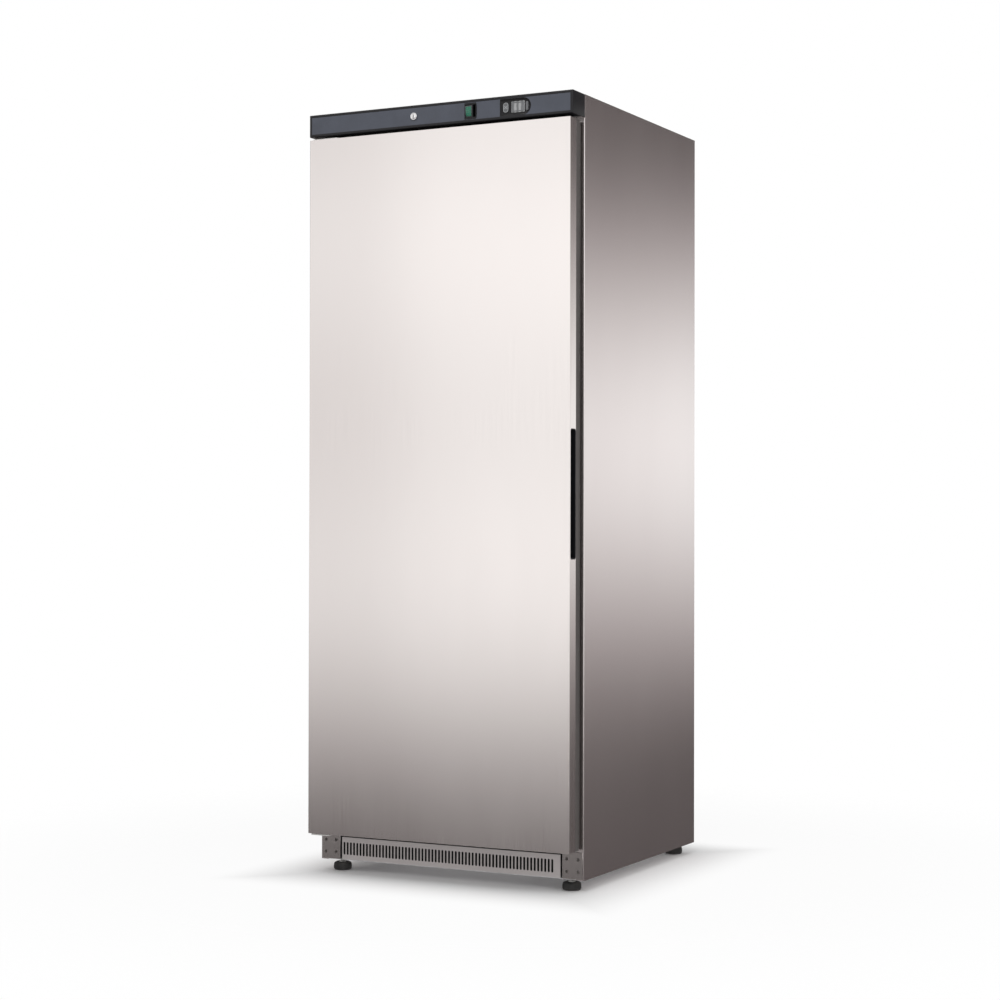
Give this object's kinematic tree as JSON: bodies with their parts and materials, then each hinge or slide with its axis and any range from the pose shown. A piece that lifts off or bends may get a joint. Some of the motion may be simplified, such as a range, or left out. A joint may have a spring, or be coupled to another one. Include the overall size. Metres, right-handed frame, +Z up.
{
  "type": "upright chiller",
  "caption": "Upright storage chiller with a full-height hinged door, control fascia, slotted base grille and levelling feet.",
  "frame": {"origin": "middle of the footprint, on the floor", "axes": "+Z up, -Y out of the door, +X to the right of someone who faces the door"},
  "size_m": [0.73, 0.765, 1.895],
  "materials": {
    "stainless": "satin",
    "grille_steel": "satin",
    "galvanised": "satin",
    "foam": "matte",
    "liner_white": "satin",
    "fascia_black": "satin",
    "fascia_slate": "satin",
    "chrome": "polished",
    "switch_green": "gloss",
    "black_plastic": "satin",
    "display": "gloss",
    "button_grey": "satin",
    "gasket": "matte",
    "pad_rubber": "matte",
    "black_enamel": "satin",
    "copper": "satin",
    "shelf_coat": "satin",
    "fan_plastic": "satin",
    "fin_aluminium": "satin",
    "natural_plastic": "satin"
  },
  "bodies": {
    "cabinet": {"back_panel": "galvanised", "base_rails": "galvanised", "blank_bracket": "stainless", "cable_gland": "black_plastic", "compressor": "black_enamel", "compressor_deck": "galvanised", "compressor_mounts": "pad_rubber", "condenser": "black_enamel", "condenser_clips": "natural_plastic", "controller_case": "black_plastic", "crossmembers": "galvanised", "display_lens": "display", "drain_tube": "natural_plastic", "evaporation_tray": "black_plastic", "evaporator": "fin_aluminium", "evaporator_cover": "liner_white", "fan_motor": "fan_plastic", "fascia": "fascia_black", "fascia_face": "fascia_slate", "fascia_strip": "stainless", "filter_drier": "copper", "floor_foam": "foam", "foot_sockets": "galvanised", "front_frame": "stainless", "grille": "grille_steel", "hinge_pins": "chrome", "hinge_screws": "chrome", "inner_liner": "liner_white", "insulation_foam": "foam", "lock_body": "chrome", "lower_hinge_bracket": "stainless", "refrigerant_lines": "copper", "roof_panel": "stainless", "shelf_1": "shelf_coat", "shelf_2": "shelf_coat", "shelf_3": "shelf_coat", "shelf_4": "shelf_coat", "side_panel_left": "stainless", "side_panel_right": "stainless", "switch_housing": "black_plastic", "temperature_probe": "stainless", "upper_hinge_plate": "stainless"},
    "door": {"door_skin": "stainless", "door_foam": "foam", "door_top_cap": "black_plastic", "door_bottom_cap": "black_plastic", "door_edge_strips": "black_plastic", "door_liner": "liner_white", "door_gasket": "gasket", "grip_pocket": "black_plastic", "hinge_bushes": "natural_plastic"},
    "lock": {"lock_plug": "chrome"},
    "switch_rocker": {"rocker": "switch_green"},
    "set_key": {"set_button": "button_grey"},
    "light_key": {"light_button": "button_grey"},
    "fan": {"fan_rotor": "fan_plastic"},
    "front_left_foot": {"foot_front_left": "pad_rubber"},
    "front_right_foot": {"foot_front_right": "pad_rubber"},
    "rear_left_foot": {"foot_rear_left": "pad_rubber"},
    "rear_right_foot": {"foot_rear_right": "pad_rubber"}
  },
  "joints": [
    {"name": "door_hinge", "type": "hinge", "parent": "cabinet", "child": "door", "pos_m": [-0.343, -0.3465, 0.101], "axis": [0, 0, -1], "range_deg": [0, 110]},
    {"name": "lock_turn", "type": "hinge", "parent": "cabinet", "child": "lock", "pos_m": [-0.064, -0.3765, 1.86725], "axis": [0, 1, 0], "range_deg": [0, 90]},
    {"name": "rocker_tilt", "type": "hinge", "parent": "cabinet", "child": "switch_rocker", "pos_m": [0.0865, -0.3715, 1.86725], "axis": [1, 0, 0], "range_deg": [0, 12]},
    {"name": "set_press", "type": "slide", "parent": "cabinet", "child": "set_key", "axis": [0, 1, 0], "range_m": [0, 0.0008], "stiffness_N_per_m": 900, "springref_m": -0.0008},
    {"name": "light_press", "type": "slide", "parent": "cabinet", "child": "light_key", "axis": [0, 1, 0], "range_m": [0, 0.0008], "stiffness_N_per_m": 900, "springref_m": -0.0008},
    {"name": "fan_spin", "type": "hinge", "parent": "cabinet", "child": "fan", "pos_m": [0, -0.0215, 1.714], "axis": [0, -1, 0], "continuous": true},
    {"name": "front_left_foot_screw", "type": "slide", "parent": "cabinet", "child": "front_left_foot", "axis": [0, 0, -1], "range_m": [0, 0.015]},
    {"name": "front_right_foot_screw", "type": "slide", "parent": "cabinet", "child": "front_right_foot", "axis": [0, 0, -1], "range_m": [0, 0.015]},
    {"name": "rear_left_foot_screw", "type": "slide", "parent": "cabinet", "child": "rear_left_foot", "axis": [0, 0, -1], "range_m": [0, 0.015]},
    {"name": "rear_right_foot_screw", "type": "slide", "parent": "cabinet", "child": "rear_right_foot", "axis": [0, 0, -1], "range_m": [0, 0.015]}
  ]
}
